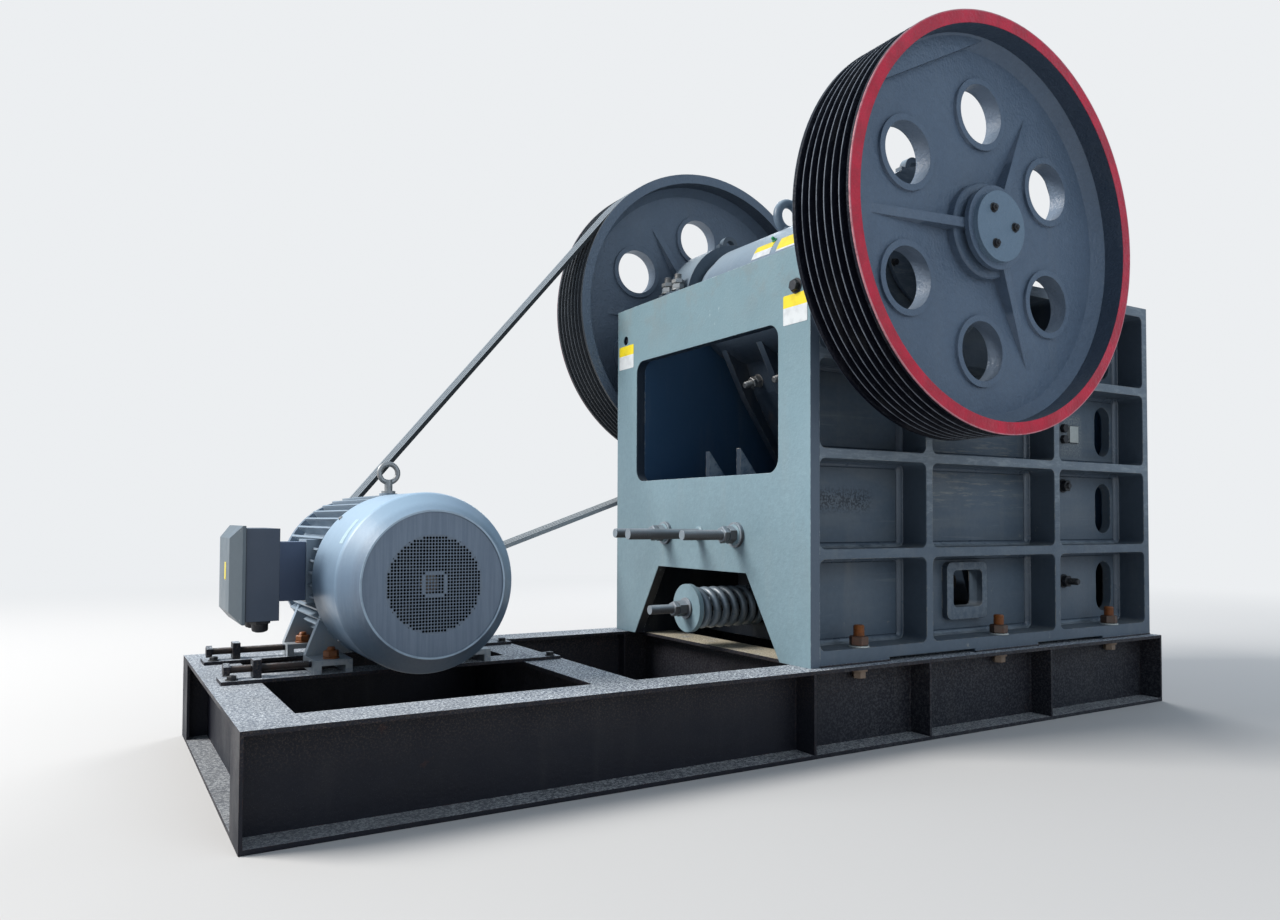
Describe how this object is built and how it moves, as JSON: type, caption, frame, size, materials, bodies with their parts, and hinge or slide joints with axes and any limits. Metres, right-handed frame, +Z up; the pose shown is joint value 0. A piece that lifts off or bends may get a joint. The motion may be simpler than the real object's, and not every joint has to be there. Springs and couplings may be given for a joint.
{
  "type": "jaw crusher",
  "caption": "Single toggle jaw crusher with grooved flywheels, a ribbed welded body, a spring-held toggle and a finned electric motor with belt drive, on a steel skid.",
  "frame": {"origin": "middle of the skid's underside, on the floor", "axes": "+X towards the feed end, along the skid; +Y towards the side with the belts; +Z up"},
  "size_m": [4.1, 2.19, 2.734],
  "materials": {
    "skid_paint": "dusty near-black paint",
    "body_paint": "dusty blue-grey paint",
    "wall_paint": "worn light grey paint",
    "wheel_paint": "grey primer with surface rust",
    "cap_paint": "grey paint",
    "jaw_paint": "grey paint",
    "manganese": "raw manganese steel casting",
    "raw_steel": "oily machined steel",
    "spring_steel": "grey paint on spring steel",
    "motor_paint": "light blue-grey paint",
    "grille_black": "grey paint",
    "fan_plastic": "black plastic",
    "pulley_iron": "dark cast iron",
    "belt_rubber": "dusty black rubber"
  },
  "bodies": {
    "crusher": {"skid_side_beams": "skid_paint", "skid_end_beams": "skid_paint", "skid_cross_beams": "skid_paint", "side_wall_near": "body_paint", "side_wall_far": "body_paint", "rear_wall": "wall_paint", "front_wall": "body_paint", "cheek_plates": "manganese", "fixed_jaw_plate": "manganese", "bearing_cap_near": "body_paint", "bearing_cap_far": "body_paint", "bearing_cover_near": "body_paint", "bearing_cover_far": "body_paint", "main_bearing_near": "raw_steel", "main_bearing_far": "raw_steel", "toggle_guides": "body_paint", "toggle_block": "raw_steel", "toggle_plate": "raw_steel", "adjusting_rods": "raw_steel", "jack_screw": "raw_steel", "tension_rod": "raw_steel", "spring_plate": "raw_steel", "tension_spring": "spring_steel", "spring_bracket": "body_paint", "motor_rails": "skid_paint", "motor_adjusting_bolts": "skid_paint", "motor_frame": "motor_paint", "motor_end_shield": "motor_paint", "fan_cowl": "motor_paint", "fan_grille": "grille_black", "terminal_box": "motor_paint", "terminal_box_lid": "motor_paint", "motor_eye": "motor_paint", "drive_belts": "belt_rubber"},
    "crankshaft": {"eccentric_shaft": "raw_steel", "flywheel_near": "wheel_paint", "flywheel_far": "wheel_paint", "hub_cap_near": "cap_paint", "hub_cap_far": "cap_paint"},
    "jaw": {"swing_jaw": "jaw_paint", "swing_jaw_plate": "manganese", "lifting_eyes": "jaw_paint"},
    "rotor": {"motor_shaft": "raw_steel", "cooling_fan": "fan_plastic", "motor_pulley": "pulley_iron"}
  },
  "joints": [
    {"name": "crankshaft_spin", "type": "hinge", "parent": "crusher", "child": "crankshaft", "pos_m": [0.51, 0, 1.954], "axis": [0, 1, 0], "continuous": true},
    {"name": "jaw_orbit", "type": "hinge", "parent": "crankshaft", "child": "jaw", "pos_m": [0.51751, 0, 1.93987], "axis": [0, 1, 0], "continuous": true},
    {"name": "motor_spin", "type": "hinge", "parent": "crusher", "child": "rotor", "pos_m": [-1.4, 0, 0.641], "axis": [0, 1, 0], "continuous": true}
  ],
  "couplings": [
    {"joint": "jaw_orbit", "follows": "crankshaft_spin", "ratio": -1},
    {"joint": "motor_spin", "follows": "crankshaft_spin", "ratio": 4.6012}
  ]
}
